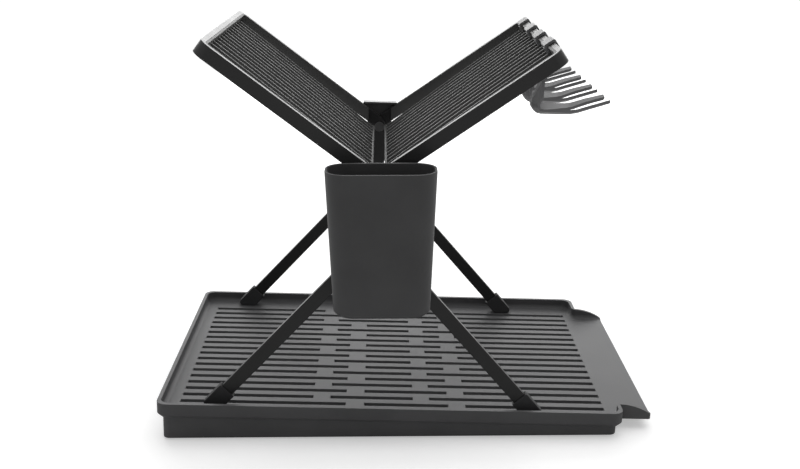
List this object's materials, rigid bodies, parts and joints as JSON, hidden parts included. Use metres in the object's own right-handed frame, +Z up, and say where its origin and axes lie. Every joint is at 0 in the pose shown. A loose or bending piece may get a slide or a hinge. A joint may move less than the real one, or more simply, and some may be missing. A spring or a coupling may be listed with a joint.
{
  "type": "foldable dish rack",
  "caption": "Foldable X-shaped dish rack with finned panels, drip tray with spout, hanging cutlery cup and clip-on glass holders.",
  "frame": {"origin": "on the table, under the middle of the whole rack's footprint", "axes": "+X towards the tray's spout, +Y away from the cup, +Z up"},
  "size_m": [0.5134, 0.3826, 0.4072],
  "materials": {
    "tray_plastic": "fine matt grey moulding",
    "cup_plastic": "fine matt dark grey moulding",
    "grid_plastic": "satin dark grey moulding",
    "holder_plastic": "satin grey moulding",
    "bar_paint": "satin black powder coat",
    "hinge_metal": "satin black",
    "washer_nylon": "black nylon",
    "foot_rubber": "soft matt rubber",
    "rubber_black": "matt rubber"
  },
  "bodies": {
    "tray": {"drip_tray": "tray_plastic", "tray_foot_front_left": "rubber_black", "tray_foot_front_right": "rubber_black", "tray_foot_rear_left": "rubber_black", "tray_foot_rear_right": "rubber_black"},
    "hinge_core": {"hinge_pin_front": "hinge_metal", "hinge_pin_rear": "hinge_metal", "washer_front": "washer_nylon", "washer_rear": "washer_nylon", "stop_plate": "bar_paint"},
    "left_frame": {"left_panel_front_bar": "bar_paint", "left_panel_rear_bar": "bar_paint", "left_panel_end_bow": "bar_paint", "left_panel_grid": "grid_plastic", "left_panel_front_foot": "foot_rubber", "left_panel_rear_foot": "foot_rubber"},
    "right_frame": {"right_panel_front_bar": "bar_paint", "right_panel_rear_bar": "bar_paint", "right_panel_end_bow": "bar_paint", "right_panel_grid": "grid_plastic", "right_panel_front_foot": "foot_rubber", "right_panel_rear_foot": "foot_rubber"},
    "cup": {"cutlery_cup": "cup_plastic", "cup_hook_plate": "cup_plastic"},
    "glass_holder_1": {"glass_holder_1": "holder_plastic"},
    "glass_holder_2": {"glass_holder_2": "holder_plastic"},
    "glass_holder_3": {"glass_holder_3": "holder_plastic"},
    "glass_holder_4": {"glass_holder_4": "holder_plastic"}
  },
  "joints": [
    {"name": "rack_lift", "type": "slide", "parent": "tray", "child": "hinge_core", "axis": [0, 0, 1], "range_m": [0, 0.2]},
    {"name": "left_fold", "type": "hinge", "parent": "hinge_core", "child": "left_frame", "pos_m": [-0.02776, 0.02215, 0.26549], "axis": [0, -1, 0], "range_deg": [0, 41]},
    {"name": "right_fold", "type": "hinge", "parent": "hinge_core", "child": "right_frame", "pos_m": [-0.02776, 0.02215, 0.26549], "axis": [0, -1, 0], "range_deg": [-41, 0]},
    {"name": "cup_lift", "type": "slide", "parent": "hinge_core", "child": "cup", "axis": [0, 0, 1], "range_m": [0, 0.12]},
    {"name": "glass_holder_1_lift", "type": "slide", "parent": "right_frame", "child": "glass_holder_1", "axis": [-0.5593, 0, 0.8289], "range_m": [0, 0.011]},
    {"name": "glass_holder_2_lift", "type": "slide", "parent": "right_frame", "child": "glass_holder_2", "axis": [-0.5593, 0, 0.8289], "range_m": [0, 0.011]},
    {"name": "glass_holder_3_lift", "type": "slide", "parent": "right_frame", "child": "glass_holder_3", "axis": [-0.5593, 0, 0.8289], "range_m": [0, 0.011]},
    {"name": "glass_holder_4_lift", "type": "slide", "parent": "right_frame", "child": "glass_holder_4", "axis": [-0.5593, 0, 0.8289], "range_m": [0, 0.011]}
  ],
  "couplings": [
    {"joint": "right_fold", "follows": "left_fold", "ratio": -1}
  ]
}
